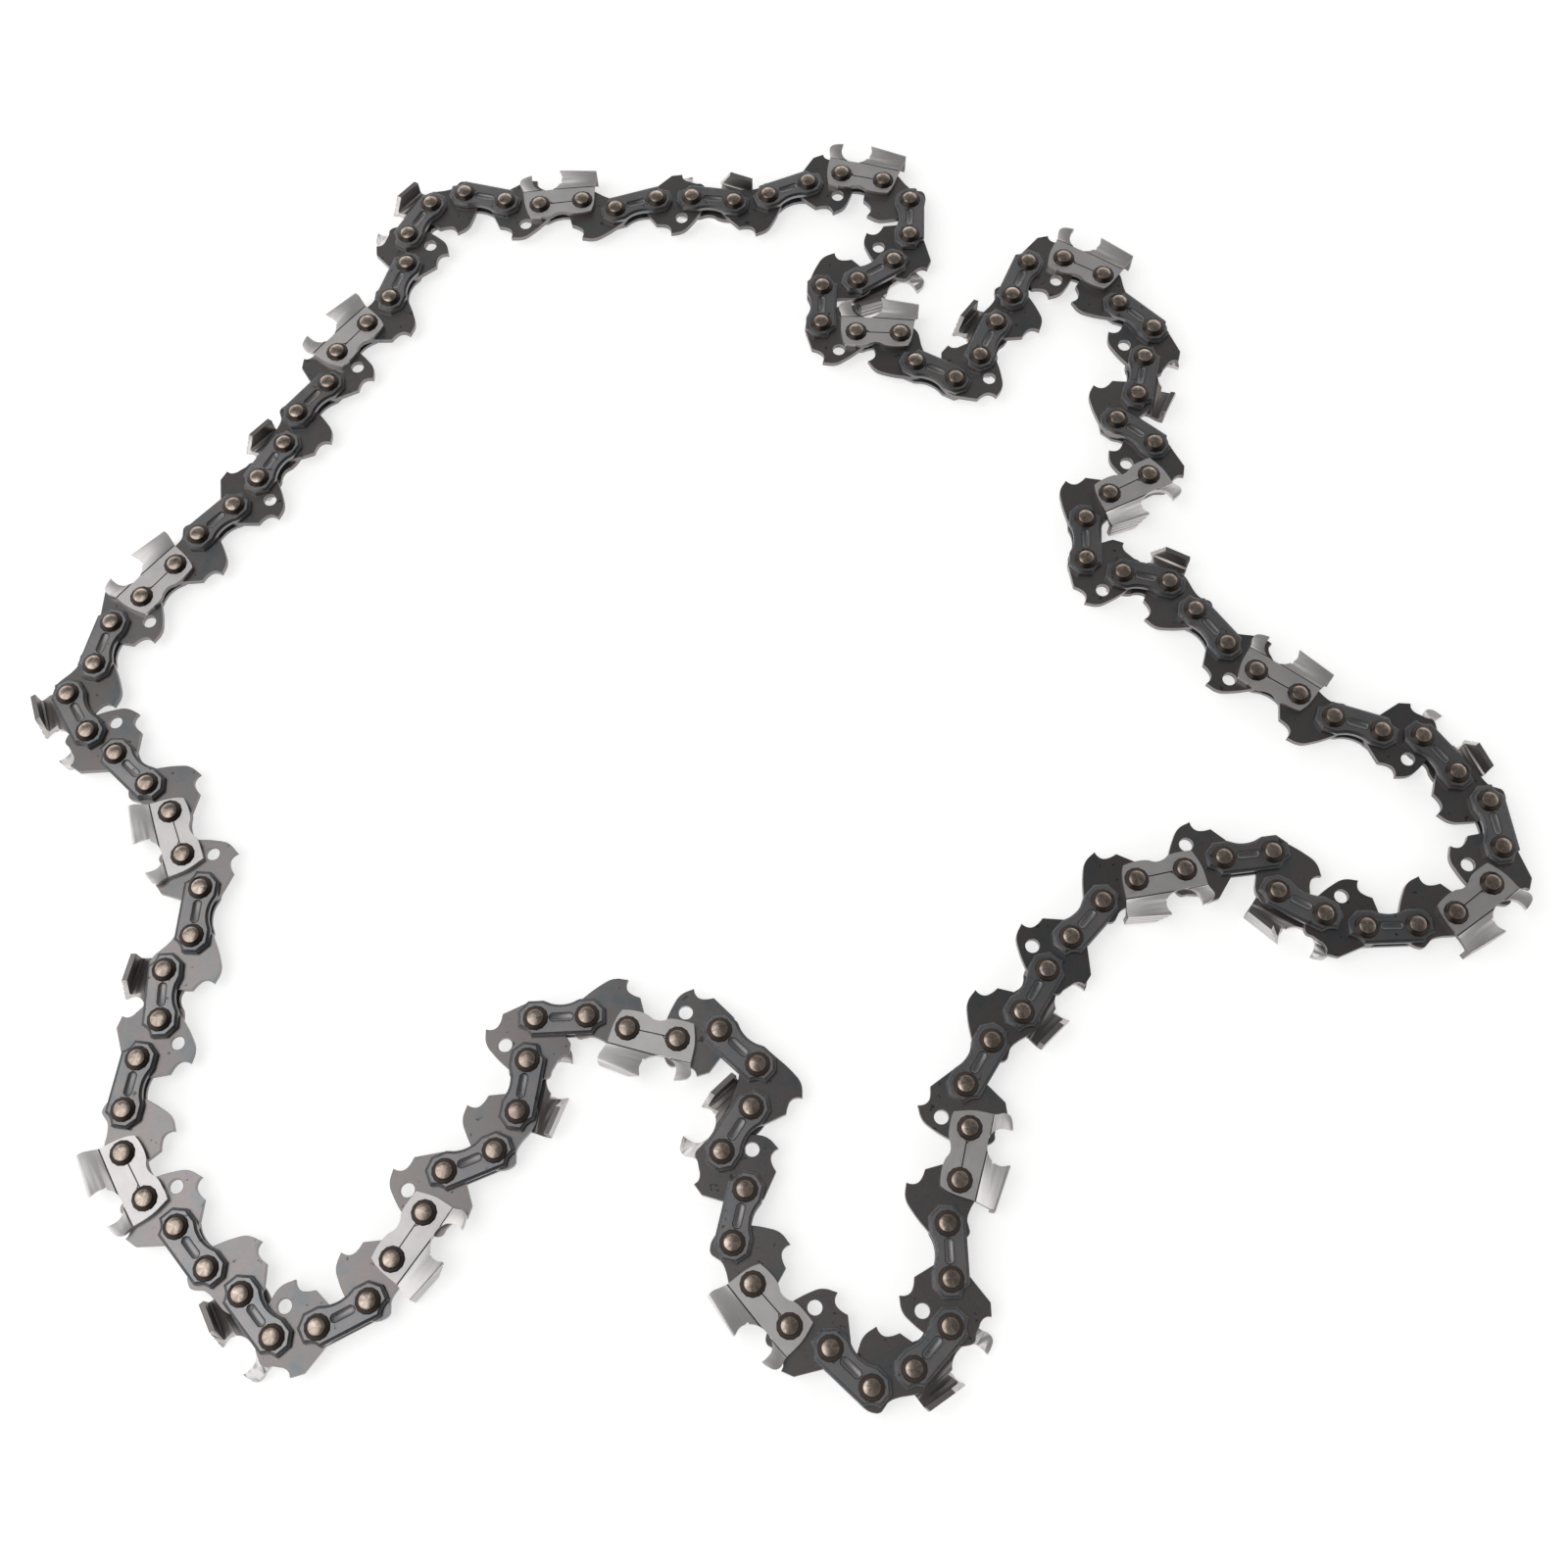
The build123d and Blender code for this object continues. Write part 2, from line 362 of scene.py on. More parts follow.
def drive_outline(outer_side):
    """Outline of a drive link, given the points of its outer side from front to rear."""
    rear = DRIVE_SPAN + BODY_REACH
    return [
        *rounds((-BODY_REACH, 0), FRONT_SHOULDER),
        *outer_side,
        *rounds((rear, 0)),
        *corners((rear - HEEL[0], HEEL[1])),
        *rounds(*TANG_BACK),
        *corners(TANG_TIP),
        *rounds(*TANG_HOOK),
        *corners(TANG_TOE, FRONT_CORNER),
    ]


plain_side = rounds(*PLAIN_FRONT, *PLAIN_DIP, *PLAIN_REAR)
guard_side = [
    *corners(RAMP_FOOT, *RAMP_TOP),
    *rounds(*RAMP_NOTCH),
    *corners(RAMP_END),
    *rounds(*RAMP_HUMP),
]
drive_shapes = bpy.data.collections.new("drive_link_shapes")
for shape_name, loops in {
    "a_plain_link": [drive_outline(plain_side)],
    "b_guard_link": [drive_outline(guard_side), rounds(*HOLE)],
}.items():
    link = outline_plate(shape_name, LINK_LOW, LINK_HIGH, EDGE_SOFTNESS, *loops)
    # The softened edge gets a lighter tint: partly rubbed wear, partly a painted highlight.
    finish_shape(link, drive_shapes, worn_edge=leaning)

# %% [markdown]
# ## Tie straps
# A tie strap has eight-sided ends round its rivets, a straight outer side and a waist on the tang
# side. The press rolls its border down a little, which an inset of the upper face gives.

# %% Draw a tie strap
STRAP_END = 3.6
STRAP_CORNER = 1.55
STRAP_SHOULDER = 1.0
SCALLOP = (2.0, 2.3)
WAIST_DEPTH = 0.85
WAIST_HALF = 1.4
BORDER_WIDTH = 0.5
BORDER_FALL = 0.22


def strap_outline():
    """Straight outer side, eight-sided ends with scalloped shoulders, and a waist."""
    front, rear = -STRAP_END, OUTER_SPAN + STRAP_END
    middle, waist = OUTER_SPAN / 2, -STRAP_END + WAIST_DEPTH
    return [
        *corners((front, STRAP_CORNER)),
        *rounds((-SCALLOP[0], SCALLOP[1])),
        *corners((-STRAP_SHOULDER, STRAP_END), (OUTER_SPAN + STRAP_SHOULDER, STRAP_END)),
        *rounds((OUTER_SPAN + SCALLOP[0], SCALLOP[1])),
        *corners((rear, STRAP_CORNER), (rear, -STRAP_CORNER)),
        *corners((OUTER_SPAN + STRAP_CORNER, -STRAP_END), (OUTER_SPAN - STRAP_CORNER, -STRAP_END)),
        *rounds((middle + WAIST_HALF, waist), (middle - WAIST_HALF, waist)),
        *corners((STRAP_CORNER, -STRAP_END), (-STRAP_CORNER, -STRAP_END), (front, -STRAP_CORNER)),
    ]


def raise_middle(mesh):
    """Lifts the middle of the upper face, which leaves the border that the press rolls down."""
    work = bmesh.new()
    work.from_mesh(mesh)
    middle = [face for face in work.faces if face.normal.z > LEVEL]
    bmesh.ops.inset_region(
        work, faces=middle, thickness=BORDER_WIDTH, depth=BORDER_FALL,
        use_even_offset=True, use_boundary=True,
    )
    work.to_mesh(mesh)
    work.free()


flat_strap = outline_plate(
    "a_upper_strap", UPPER_INSIDE, UPPER_FACE - BORDER_FALL, EDGE_SOFTNESS, strap_outline()
)
raise_middle(flat_strap)
print("strap length", round(OUTER_SPAN + 2 * STRAP_END, 2), "mm")

# %% [markdown]
# ### The bead of a tie strap
# A short bead is pressed into the face between the rivets. It is cut with a Boolean, so that it is
# a true hollow that catches light, and its steep sides are painted darker as painted shade. A dark
# patch alone would look flat. The lower strap is the same plate mirrored.

# %% Press the bead
BEAD_LENGTH = 3.2
BEAD_HALF_WIDTH = 1.05
BEAD_DEPTH = 0.42
BEAD_FULLNESS = 0.62
BAR_HALF_HEIGHT = BEAD_HALF_WIDTH * BEAD_FULLNESS
BAR_SIDES = 20
BAR_RINGS = 7
SHADE_GAIN = 4.0


def bead_tool():
    """A long bar with an oval section over the strap, whose underside presses the bead."""
    lying = Matrix.Rotation(math.pi / 2, 4, "Y")
    bar = bmesh.new()
    bmesh.ops.create_uvsphere(
        bar, u_segments=BAR_SIDES, v_segments=BAR_RINGS, radius=BEAD_HALF_WIDTH, matrix=lying
    )
    for vertex in bar.verts:
        vertex.co.x += math.copysign(BEAD_LENGTH / 2, vertex.co.x) + OUTER_SPAN / 2
        vertex.co.z = vertex.co.z * BEAD_FULLNESS + UPPER_FACE + BAR_HALF_HEIGHT - BEAD_DEPTH
    mesh = bpy.data.meshes.new("bead")
    bar.to_mesh(mesh)
    bar.free()
    return mesh


def in_bead(face):
    """True for the faces of the bead."""
    x, y, _ = face.center
    half_length = BEAD_LENGTH / 2 + BEAD_HALF_WIDTH
    return abs(x - OUTER_SPAN / 2) < half_length and abs(y) < BEAD_HALF_WIDTH


def bead_shade(face):
    """How much painted shade a face of the bead gets: more, the steeper it is."""
    return in_bead(face) and min(1, SHADE_GAIN * (1 - abs(face.normal.z)))


def strap_edge(face):
    """True for the softened outer edge and rolled border of a strap, which get painted shade."""
    return leaning(face) and not in_bead(face)


strap_shapes = bpy.data.collections.new("tie_strap_shapes")
upper_strap = combine(flat_strap, bead_tool(), "DIFFERENCE")
lower_strap = mirrored(upper_strap, "b_lower_strap")
for strap in (upper_strap, lower_strap):
    # The strap's softened edge and rolled border get painted shade, and so do the bead's steep
    # sides.
    finish_shape(strap, strap_shapes, worn_edge=strap_edge, grimy=bead_shade)

# %% [markdown]
# ## Cutters
# A cutter is a plate that is folded twice. Above the crease its side plate leans outwards, and then
# the top plate folds across the chain. In front of the top plate is a round gullet, and before that
# the depth gauge. The folded sheet is made first, as one section that runs along the link. It could
# also be bent from a flat mesh, but a section keeps the crease, the round fold and the ribs on the
# top plate where they belong. Both hands are made the same way. The lower one ends a little lower
# at the rear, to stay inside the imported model.

# %% Fold the sheet
TOP_FRONT = 5.6
TOP_WIDTH = 4.8
TOP_THICKNESS = 1.1
CREASE = 4.2
CREASE_FALL = 0.26
CREASE_WIDTH = 0.3
CREASE_DEPTH = 0.14
FLARE = 0.84
FLARE_LINE = ((0, 0), (0.3, 0.42), (0.65, 0.78), (1, 1))
FOLD_RADIUS = 0.35
FOLD_CUT = 0.3 * FOLD_RADIUS
RIBS = (0.7, 1.9, 3.1)
RIB_WIDTH = 0.55
RIB_DEPTH = 0.16
# A rib's section, in shares of its width and depth
RIB_LINE = ((0, 0), (0.25, 1), (0.75, 1), (1, 0))
SHEET_END = 3 * TOP_FRONT
SHEET_BOTTOM = -2 * TOP_FRONT
# Height of the top plate at its front and rear, and where its rear is
UPPER_TOP = (9.2, 7.9, 14.6)
LOWER_TOP = (9.1, 7.1, 14.0)


def crease_at(x):
    """Height of the crease along the link: level at the depth gauge, then falling to the rear."""
    return CREASE - CREASE_FALL * (max(x, TOP_FRONT / 2) / TOP_FRONT - 1)


def folded_section(crease, top):
    """The folded sheet's section as (y, z), between its crease and its top plate."""
    corner = UPPER_FACE + FLARE
    under = top - TOP_THICKNESS
    reach = top - FOLD_RADIUS - crease
    outer = [(crease + reach * up, UPPER_FACE + FLARE * out) for up, out in FLARE_LINE]
    outer += [(top - FOLD_CUT, corner - FOLD_CUT), (top, corner - FOLD_RADIUS)]
    for rib in RIBS:
        for across, depth in RIB_LINE:
            outer.append((top - RIB_DEPTH * depth, corner - rib - RIB_WIDTH * across))
    outer.append((top, corner - TOP_WIDTH))
    reach -= TOP_THICKNESS
    inner = [(crease + reach * up, UPPER_INSIDE + FLARE * out) for up, out in FLARE_LINE]
    inner += [(under, UPPER_INSIDE + FLARE - FOLD_RADIUS), (under, corner - TOP_WIDTH)]
    return [
        (SHEET_BOTTOM, UPPER_FACE),
        (crease - CREASE_WIDTH, UPPER_FACE),
        (crease - CREASE_WIDTH / 2, UPPER_FACE - CREASE_DEPTH),
        *outer,
        *reversed(inner),
        (SHEET_BOTTOM, UPPER_INSIDE),
    ]


def folded_sheet(front_height, rear_height, rear):
    """The section carried along the link: level at the depth gauge, then falling to the rear."""
    rings = []
    for x in (-SHEET_END, TOP_FRONT / 2, SHEET_END):
        share = (max(x, TOP_FRONT / 2) - TOP_FRONT) / (rear - TOP_FRONT)
        top = front_height + (rear_height - front_height) * share
        rings.append([(x, y, z) for y, z in folded_section(crease_at(x), top)])
    return loft("cutter", *rings)


print("points of the folded section", len(folded_section(CREASE, UPPER_TOP[0])))

# %% [markdown]
# ### Outline of a cutter
# The folded sheet is cut down to the cutter's outline, as the press does: round the bottom with its
# waist, up the depth gauge, down into the gullet, and round the top plate, which the outline leaves
# to the fold.

# %% Press the outline
FRONT_BOTTOM = ((5.4, -2.85), (3.6, -3.1), (2.6, -3.65), (-0.8, -3.85))
FRONT_TOE = (-2.5, -3.7)
GAUGE_FRONT = ((-3.55, 0.0), (-3.7, 2.2), (-3.75, 4.6), (-4.3, 6.4))
# Points near the depth gauge's tip, as x and how far they lie below it
GAUGE_TOP = ((-3.95, 1.0), (-2.9, 0.4))
GAUGE_TIP = (-1.25, 0.0)
GAUGE_BACK = (-1.35, 1.2)
GULLET = ((-1.0, 5.5), (0.3, 4.35), (2.3, 4.0), (4.3, 4.5), (5.5, 5.6), (6.1, 7.1))
NOSE_DROP = 0.3
ABOVE_TOP = 2.0
LIP_DROP = 1.4
REAR_HEEL = (13.7, 3.8)
REAR_END = (13.0, -1.8)
REAR_TOE = (12.3, -3.5)
REAR_BOTTOM = ((10.2, -3.8), (7.2, -3.6))
UPPER_GAUGE_HEIGHT = 8.31
LOWER_GAUGE_HEIGHT = 8.55


def cutter_outline(gauge_height, top_height, rear_height, rear):
    """The cutter seen on its side plate: bottom, depth gauge, gullet and top plate."""
    above = top_height + ABOVE_TOP
    top, tip, back = (
        [(x, gauge_height - drop) for x, drop in points]
        for points in (GAUGE_TOP, [GAUGE_TIP], [GAUGE_BACK])
    )
    return [
        *rounds(*FRONT_BOTTOM),
        *corners(FRONT_TOE),
        *rounds(*GAUGE_FRONT, *top),
        *corners(*tip),
        *rounds(*back, *GULLET),
        *corners((TOP_FRONT, top_height - NOSE_DROP), (TOP_FRONT, above), (rear, above)),
        *corners((rear, rear_height - LIP_DROP), REAR_HEEL),
        *rounds(REAR_END),
        *corners(REAR_TOE),
        *rounds(*REAR_BOTTOM),
    ]


print("points of the outline", len(cutter_outline(UPPER_GAUGE_HEIGHT, *UPPER_TOP)))

# %% [markdown]
# ### Grinding and scoring
# A grinder slants the leading edge back across the chain, so that only its outer corner cuts. The
# wedge that it takes off is subtracted, and the edges get a bevel. Its clamp keeps that about
# 0.002 mm wide, because the cuts leave some very short edges, so the edges look sharp. The guide
# line for filing is scored between the rivets, with a tick near its front.

# %% Grind, bevel and score
TOP_ANGLE = math.radians(30)
GRIND_FROM = 5.4
WHEEL_DEPTH = 3.0
WHEEL_SPARE = 1.0
GROUND_SOFTNESS = 0.16
SOFT_STEPS = 2
SOFT_ANGLE = math.radians(34)
SCORE_DEPTH = 0.2
SCORE_LINE = ((2.2, -0.23), (8.2, -0.23), (8.2, 0.03), (3.2, 0.03))
SCORE_TICK = ((2.5, 0.6), (2.3, 0.47), (2.9, 0.03), (2.2, 0.03))


def grinding_wedge():
    """What the grinder takes off: the top plate slants back from its outer corner."""
    corner = UPPER_FACE + FLARE
    across = TOP_WIDTH + WHEEL_SPARE
    section = [
        (TOP_FRONT - WHEEL_DEPTH, corner),
        (TOP_FRONT, corner),
        (TOP_FRONT + across * math.tan(TOP_ANGLE), corner - across),
        (TOP_FRONT - WHEEL_DEPTH, corner - across),
    ]
    return loft("wedge", *([(x, y, z) for x, z in section] for y in (GRIND_FROM, SHEET_END)))


def softened(mesh):
    """Bevels the edges of a cut plate, as widely as its shortest edges allow."""
    source = put(mesh.name, mesh)
    bevel = source.modifiers.new("soft edges", "BEVEL")
    bevel.width = GROUND_SOFTNESS
    bevel.segments = SOFT_STEPS
    bevel.limit_method = "ANGLE"
    bevel.angle_limit = SOFT_ANGLE
    return bake(source)


def make_cutter(gauge_height, top):
    """An upper cutter, folded, pressed, ground and scored."""
    outline = cutter_outline(gauge_height, *top)
    blank = outline_plate("outline", -TOP_WIDTH, 2 * HEAD_TOP, 0, outline)
    pressed = combine(folded_sheet(*top), blank, "INTERSECT")
    slanted = softened(combine(pressed, grinding_wedge(), "DIFFERENCE"))
    low, high = UPPER_FACE - SCORE_DEPTH, UPPER_FACE + SCORE_DEPTH
    score = outline_plate("score", low, high, 0, corners(*SCORE_LINE, *SCORE_TICK))
    return combine(slanted, score, "DIFFERENCE")


upper_cutter = make_cutter(UPPER_GAUGE_HEIGHT, UPPER_TOP)
upper_cutter.name = "a_upper_cutter"
lower_cutter = mirrored(make_cutter(LOWER_GAUGE_HEIGHT, LOWER_TOP), "b_lower_cutter")
print("cutter faces", len(upper_cutter.polygons), len(lower_cutter.polygons))

# %% [markdown]
# ### Bright and dark places of a cutter
# Plating covers the outside of the fold, and grinding leaves bright steel. The inside of the fold,
# the cut edges, the ribs and the pressed lines are painted darker, as painted shade. Each face of
# the mesh notes which of these it is, by its place and by the side that it faces.

# %% Note the finish of both cutters
# Shares of painted shade on the ribs and inside the fold
RIB_SHADE = 0.45
INSIDE_SHADE = 0.8
GULLET_LOW, GULLET_HIGH = 3.4, 6.2
EDGE_FROM = 1.5
PLATE_FROM = CREASE + 1
FOLD_FROM = CREASE + 2
SCORE_X = (2, 8.5)
SCORE_Y = (-1.1, 0.9)
# How far a face has to turn to a side, as that part of its normal
GROUND_TURN = 0.35
GAUGE_TURN = 0.5
RIM_TURN = 0.25
SCORE_TURN = -0.1
OUTSIDE_TURN = 0.3
TOP_TURN = 0.6


def ground(face, side):
    """True for what grinding and use leave bright: gullet, leading edge, gauge, plate's rim."""
    x, y, _ = face.center
    forward, up, inwards = -face.normal.x, face.normal.y, -face.normal.z * side
    in_gullet = 0 < x < TOP_FRONT and GULLET_LOW < y < GULLET_HIGH and up > GROUND_TURN
    leading = forward > GROUND_TURN and x > EDGE_FROM and y > GULLET_LOW
    gauge = up > GAUGE_TURN and x < 0
    rim = x > TOP_FRONT and y > FOLD_FROM and inwards > RIM_TURN and abs(up) > RIM_TURN
    return in_gullet or leading or gauge or rim


def unplated(face, side):
    """How much painted shade a face gets: in pressed lines, on ribs, on cut edges and inside the
    fold.
    """
    x, y, z = face.center
    up, outwards = face.normal.y, face.normal.z * side
    depth = UPPER_FACE - z if side > 0 else z - LOWER_FACE
    if x > TOP_FRONT and y > FOLD_FROM and up > 0:
        if any(rib < depth + FLARE < rib + RIB_WIDTH for rib in RIBS):
            return RIB_SHADE
    near_score = SCORE_X[0] < x < SCORE_X[1] and SCORE_Y[0] < y < SCORE_Y[1]
    scored = near_score and outwards > SCORE_TURN and depth > SCORE_DEPTH / 4
    near_crease = abs(y - crease_at(x) + CREASE_WIDTH / 2) < CREASE_WIDTH / 2
    if scored or (near_crease and OUTSIDE_TURN < outwards < LEVEL):
        return 1
    on_top = up > TOP_TURN and y > PLATE_FROM
    inside = outwards < OUTSIDE_TURN and x > 0 and not on_top and not ground(face, side)
    return INSIDE_SHADE * inside


cutter_shapes = bpy.data.collections.new("cutter_shapes")
# Ribs, pressed lines, cut edges and the inside of the fold get painted shade.
for cutter, side in ((upper_cutter, 1), (lower_cutter, -1)):
    finish_shape(
        cutter,
        cutter_shapes,
        worn_edge=lambda face, side=side: ground(face, side),
        unplated=lambda face, side=side: unplated(face, side),
    )

# %% [markdown]
# ## One node helper
# Shaders and geometry trees are both built from nodes, so one small function adds a node, sets what
# it is told and links its inputs. Colours are sRGB hex values, and one function makes them linear.

# %% Node and colour helpers


def add(tree, kind, **values):
    """Adds a node. Small names are its settings, which come first, and stops colour a ramp. Other
    names are its sockets, with underscores for spaces, and item_N is socket N. A node that is given
    as a value stands for its result."""
    node = tree.nodes.new(kind)
    for name, value in values.items():
        if name == "stops":
            elements = node.color_ramp.elements
            while len(elements) < len(value):
                elements.new(0.5)
            for element, (at, code) in zip(elements, value):
                element.position, element.color = at, colour(code)
            continue
        item = name.startswith("item_")
        if name.islower() and not item:
            setattr(node, name, value)
            continue
        socket = node.inputs[int(name[5:]) if item else name.replace("_", " ")]
        if isinstance(value, bpy.types.Node):
            value = next(output for output in value.outputs if output.enabled)
        if isinstance(value, bpy.types.NodeSocket):
            tree.links.new(value, socket)
        else:
            socket.default_value = value
    return node


def colour(code):
    """Linear RGBA of an sRGB hex value."""
    parts = [int(code[i : i + 2], 16) / 255 for i in (1, 3, 5)]
    return (*[p / 12.92 if p <= 0.04045 else ((p + 0.055) / 1.055) ** 2.4 for p in parts], 1.0)


print("linear value of middle grey", round(colour("#808080")[0], 3))

# %% [markdown]
# ## What all the metals share
# Patterns follow each link's own place in mm, which the meshes carry as a note. A number that
# differs from link to link shifts them, so no two links look the same. One pattern over the whole
# chain would run on from plate to plate.

# %% Start of a metal
LINK_SHIFT = (61.0, 37.0, 83.0)
BUMP_DEPTH = 0.02 * MM


def metal(name):
    """A new metal with its shader, its pattern places in mm and the number of its link."""
    material = bpy.data.materials.new(name)
    material.use_nodes = True
    tree = material.node_tree
    shader = tree.nodes["Principled BSDF"]
    shader.inputs["Metallic"].default_value = 1.0
    own = add(tree, "ShaderNodeAttribute", attribute_name="own_place").outputs["Vector"]
    batch = add(tree, "ShaderNodeAttribute", attribute_name="batch").outputs["Fac"]
    shift = add(tree, "ShaderNodeVectorMath", operation="SCALE", item_0=LINK_SHIFT, Scale=batch)
    place = add(tree, "ShaderNodeVectorMath", operation="ADD", item_0=own, item_1=shift)
    return material, tree, shader, place, batch


def finish_metal(tree, shader, tint, roughness, bump):
    """Links the three results of a metal's nodes to its shader."""
    for name, value in (("Base Color", tint), ("Roughness", roughness), ("Normal", bump)):
        tree.links.new(value, shader.inputs[name])


print("bumps are up to", round(BUMP_DEPTH / MM, 3), "mm high")

# %% [markdown]
# ## Blued steel
# Straps and drive links are spring steel that was hardened, tumbled and blued. It could be one dark
# colour, but tempering leaves patches and tumbling a grain. The edges of the drive links are
# painted lighter, partly as rubbed wear and partly as a painted highlight. The rolled border of the
# straps is painted darker as painted shade.

# %% Straps and drive links
PATCH_MM = 5.0
SPECK_MM = 1.5
# The real tumbled grain is about 0.05 mm, which is too fine to show, so it is drawn coarser.
TUMBLE_MM = 0.35
# Colour of dust specks, and of the painted shade on the bead's steep sides
DUST_AND_SHADE = "#2b2c2d"
ROUGHNESS_SPREAD = 0.1
STRAP_PATCHES = ((0.3, "#82868a"), (0.5, "#8b8a8b"), (0.72, "#948e8d"))
# Painted shade on the strap's softened edge and rolled border
STRAP_BORDER_SHADE = "#2b2d30"
STRAP_ROUGHNESS = 0.39
LINK_PATCHES = ((0.28, "#747b7e"), (0.44, "#817f7f"), (0.6, "#857f7d"), (0.78, "#807a82"))
# Lighter drive link edges: partly rubbed wear, partly a painted highlight
LINK_EDGE_WEAR_AND_HIGHLIGHT = "#87827f"
LINK_ROUGHNESS = 0.31


def blued_steel(name, patches, edge, rough):
    """Hardened, tumbled and blued spring steel."""
    # To the eye it is dark and satin, clouded with blue and brown, and nearly black in dust specks.
    # Rubbed wear and a painted highlight lighten the edges of drive links, and painted shade
    # darkens the straps' rolled border and the steep sides of their bead.
    material, tree, shader, place, batch = metal(name)
    cloud, grain, dots = (
        add(tree, "ShaderNodeTexNoise", Vector=place, Scale=1 / size, Detail=fine, Roughness=mix)
        for size, fine, mix in ((PATCH_MM, 3.0, 0.55), (TUMBLE_MM, 4.0, 0.6), (SPECK_MM, 1.0, 0.5))
    )
    temper = add(tree, "ShaderNodeValToRGB", stops=patches, Fac=cloud)
    shade = add(tree, "ShaderNodeMapRange", Value=batch, To_Min=0.85, To_Max=1.15)
    clean = add(tree, "ShaderNodeHueSaturation", Color=temper, Value=shade)
    speck = add(tree, "ShaderNodeMapRange", Value=dots, From_Min=0.7, From_Max=0.75, To_Max=0.6)
    # Painted shade on the steep sides of the bead
    hollow = add(tree, "ShaderNodeAttribute", attribute_name="grimy")
    dust_and_shade = add(
        tree, "ShaderNodeMath", operation="MAXIMUM", item_0=speck, item_1=hollow.outputs["Fac"]
    )
    # A colour mix has its share in socket 0, and its two colours in sockets 6 and 7.
    dusted_and_shaded = add(
        tree, "ShaderNodeMix", data_type="RGBA", item_0=dust_and_shade, item_6=clean, item_7=colour(DUST_AND_SHADE)
    )
    # The edge tint is painted shade on straps, and rubbed wear with a painted highlight on drive
    # links.
    edge_marked = add(tree, "ShaderNodeAttribute", attribute_name="worn_edge")
    patchy = add(tree, "ShaderNodeMapRange", Value=grain, To_Min=0.5, To_Max=1.0)
    edge_share = add(
        tree, "ShaderNodeMath", operation="MULTIPLY", item_0=edge_marked.outputs["Fac"], item_1=patchy
    )
    tint = add(
        tree, "ShaderNodeMix", data_type="RGBA", item_0=edge_share, item_6=dusted_and_shaded, item_7=colour(edge)
    )
    satin = add(
        tree, "ShaderNodeMapRange", Value=grain,
        To_Min=rough - ROUGHNESS_SPREAD, To_Max=rough + ROUGHNESS_SPREAD,
    )
    bump = add(tree, "ShaderNodeBump", Strength=0.15, Distance=BUMP_DEPTH, Height=grain)
    finish_metal(tree, shader, tint.outputs[2], satin.outputs["Result"], bump.outputs["Normal"])
    return material


strap_steel = blued_steel("blued_strap_steel", STRAP_PATCHES, STRAP_BORDER_SHADE, STRAP_ROUGHNESS)
link_steel = blued_steel("blued_drive_link_steel", LINK_PATCHES, LINK_EDGE_WEAR_AND_HIGHLIGHT, LINK_ROUGHNESS)
print("metals", strap_steel.name, link_steel.name)

# %% [markdown]
# ## Plated steel
# Cutters are rolled sheet with a hard chromium plating. Its shine is broken by fine rolling lines
# along the link, which a stretched noise gives to both the roughness and the bump.

# %% Cutters' metal
# Real rolling lines are about 0.03 mm apart, which is too fine to show, so they are drawn coarser.
LINE_MM = 0.22
LINE_STRETCH = (0.06, 1.0, 1.0)
PLATING = ((0.3, "#c9c7c6"), (0.7, "#d5d1d0"))
# Colour of the painted shade on ribs, pressed lines, cut edges and inside the fold
CUTTER_SHADE_COLOUR = "#625d5a"
GROUND_STEEL = "#c8c4c1"


def plated_steel():
    """Rolled cutter steel with a hard chromium plating."""
    # To the eye it is pale and satin, streaked along the link, and bright where it is ground. Ribs,
    # pressed lines, cut edges and the inside of the fold are painted dark, as painted shade.
    material, tree, shader, place, batch = metal("chromium_plated_cutter_steel")
    along = add(
        tree, "ShaderNodeVectorMath", operation="MULTIPLY", item_0=place, item_1=LINE_STRETCH
    )
    lines, cloud = (
        add(tree, "ShaderNodeTexNoise", Vector=at, Scale=1 / size, Detail=fine, Roughness=mix)
        for at, size, fine, mix in ((along, LINE_MM, 2.0, 0.5), (place, PATCH_MM, 3.0, 0.55))
    )
    plating = add(tree, "ShaderNodeValToRGB", stops=PLATING, Fac=cloud)
    shade = add(tree, "ShaderNodeMapRange", Value=batch, To_Min=0.93, To_Max=1.05)
    clean = add(tree, "ShaderNodeHueSaturation", Color=plating, Value=shade)
    # Share of painted shade on each face
    shade_share = add(tree, "ShaderNodeAttribute", attribute_name="unplated")
    sided = add(
        tree, "ShaderNodeMix", data_type="RGBA",
        item_0=shade_share.outputs["Fac"], item_6=clean, item_7=colour(CUTTER_SHADE_COLOUR),
    )
    edge_marked = add(tree, "ShaderNodeAttribute", attribute_name="worn_edge")
    tint = add(
        tree, "ShaderNodeMix", data_type="RGBA",
        item_0=edge_marked.outputs["Fac"], item_6=sided, item_7=colour(GROUND_STEEL),
    )
    satin = add(tree, "ShaderNodeMapRange", Value=lines, To_Min=0.36, To_Max=0.54)
    bump = add(tree, "ShaderNodeBump", Strength=0.14, Distance=BUMP_DEPTH, Height=lines)
    finish_metal(tree, shader, tint.outputs[2], satin.outputs["Result"], bump.outputs["Normal"])
    return material


cutter_steel = plated_steel()
print("metal", cutter_steel.name)

# %% [markdown]
# ## Heat-tinted steel
# A rivet is spun while it is clamped, which heats its top to a straw colour and leaves rings of the
# tool on it. Lighter and darker sectors on the top are painted highlights, and the side of the head
# is painted dark as painted shade. The distance from the rivet's axis tells the top from the side,
# and gives the rings.

# %% Rivets' metal
HEAD_RADIUS = 2.6
TOP_SHARE = 0.63
TOP_BLUR = 0.02
# Sectors lie on a circle of radius 1, so their size is a share of the head's radius.
SECTOR_SHARE = 0.8
STAIN_MM = 1.2
